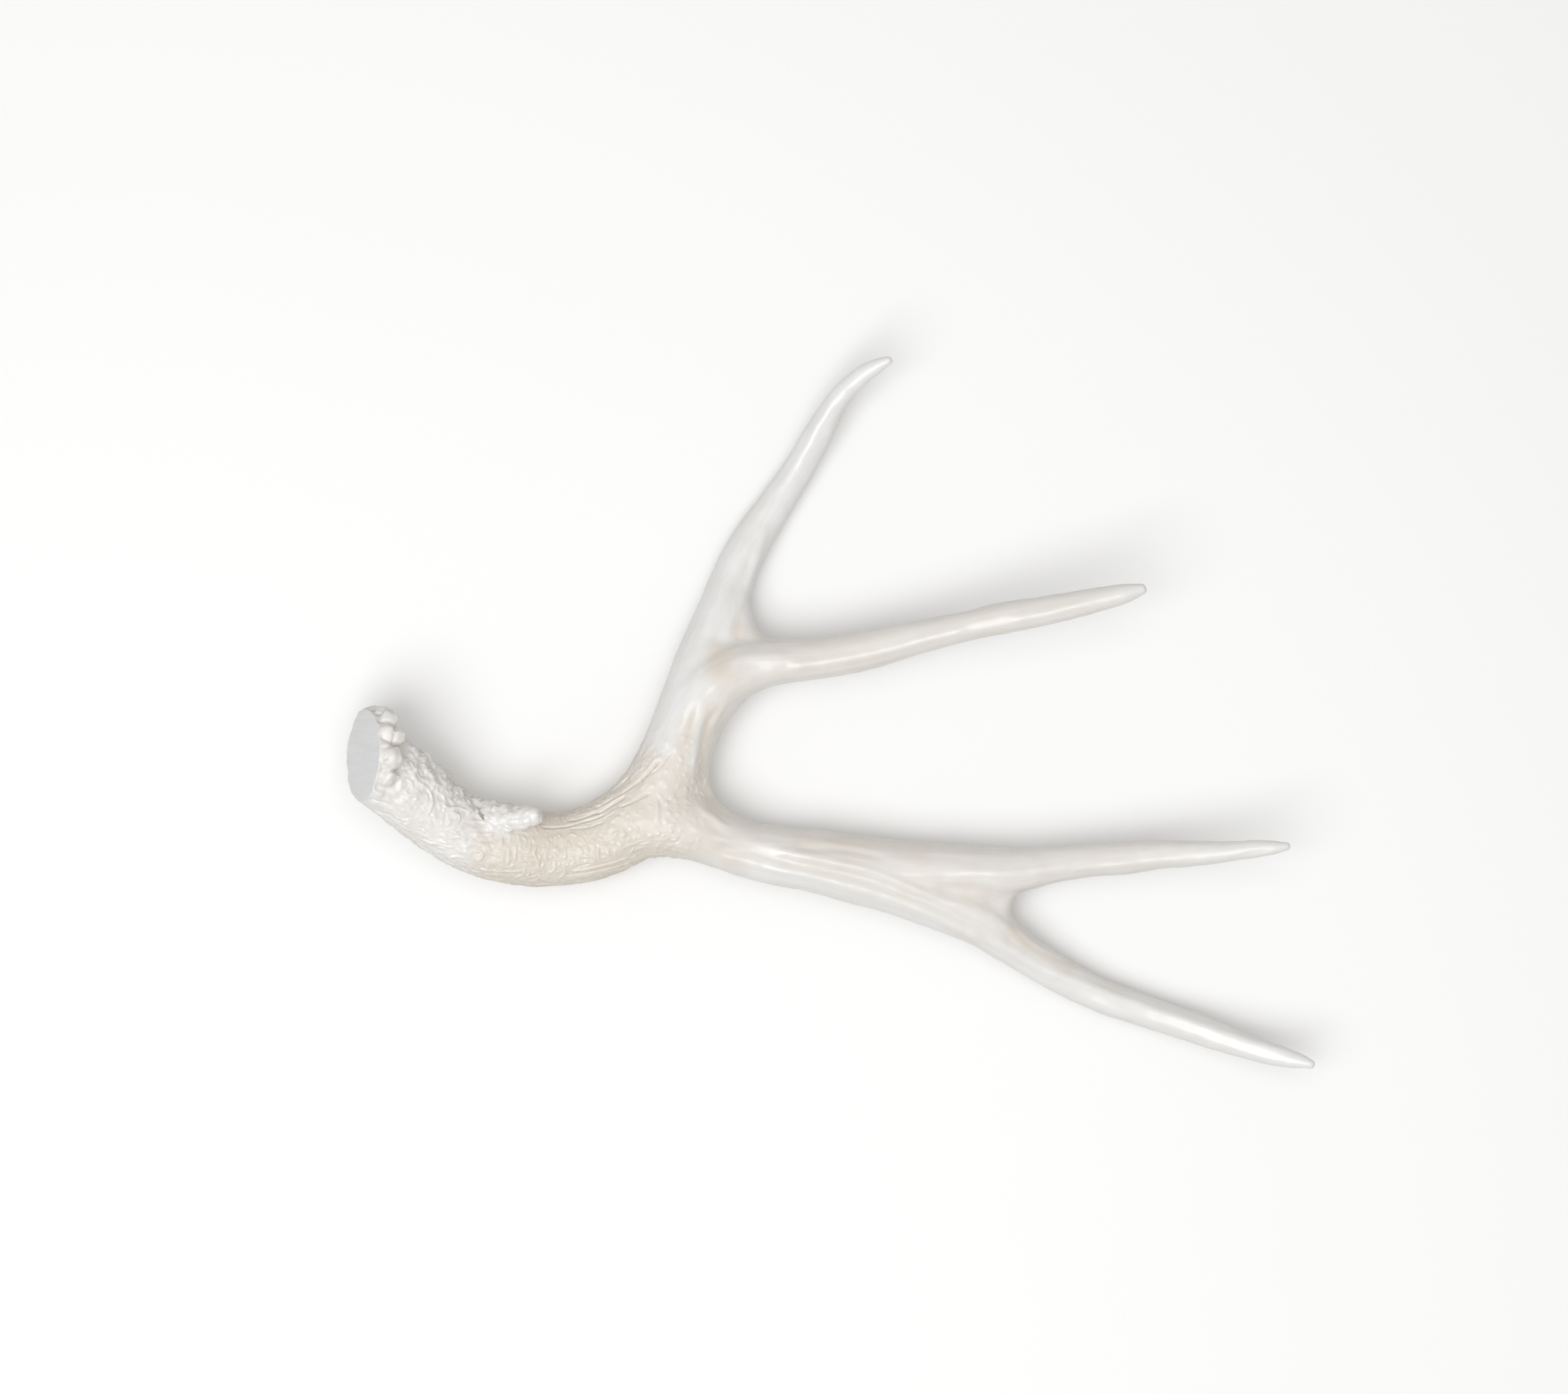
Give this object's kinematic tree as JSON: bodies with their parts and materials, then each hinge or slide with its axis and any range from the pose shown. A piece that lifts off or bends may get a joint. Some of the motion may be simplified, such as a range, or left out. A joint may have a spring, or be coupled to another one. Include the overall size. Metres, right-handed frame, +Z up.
{
  "type": "deer antler",
  "caption": "Shed deer antler lying on its outer side, with a knobbly burr, a pearled curving beam, a short brow tine and two forks of long smooth tines.",
  "frame": {"origin": "middle of the bounding box, on the surface that the antler lies on", "axes": "+X from the burr towards the tine tips, +Y towards the rear fork, +Z up from the surface"},
  "size_m": [0.4743, 0.3474, 0.0671],
  "materials": {
    "pearled_bone": "satin",
    "stem_bone": "satin",
    "smooth_bone": "satin"
  },
  "bodies": {
    "root": {"beam": "pearled_bone", "brow_tine": "smooth_bone", "rear_stem": "stem_bone", "rear_upper_tine": "smooth_bone", "rear_lower_tine": "smooth_bone", "front_stem": "stem_bone", "front_upper_tine": "smooth_bone", "front_lower_tine": "smooth_bone"}
  },
  "joints": []
}
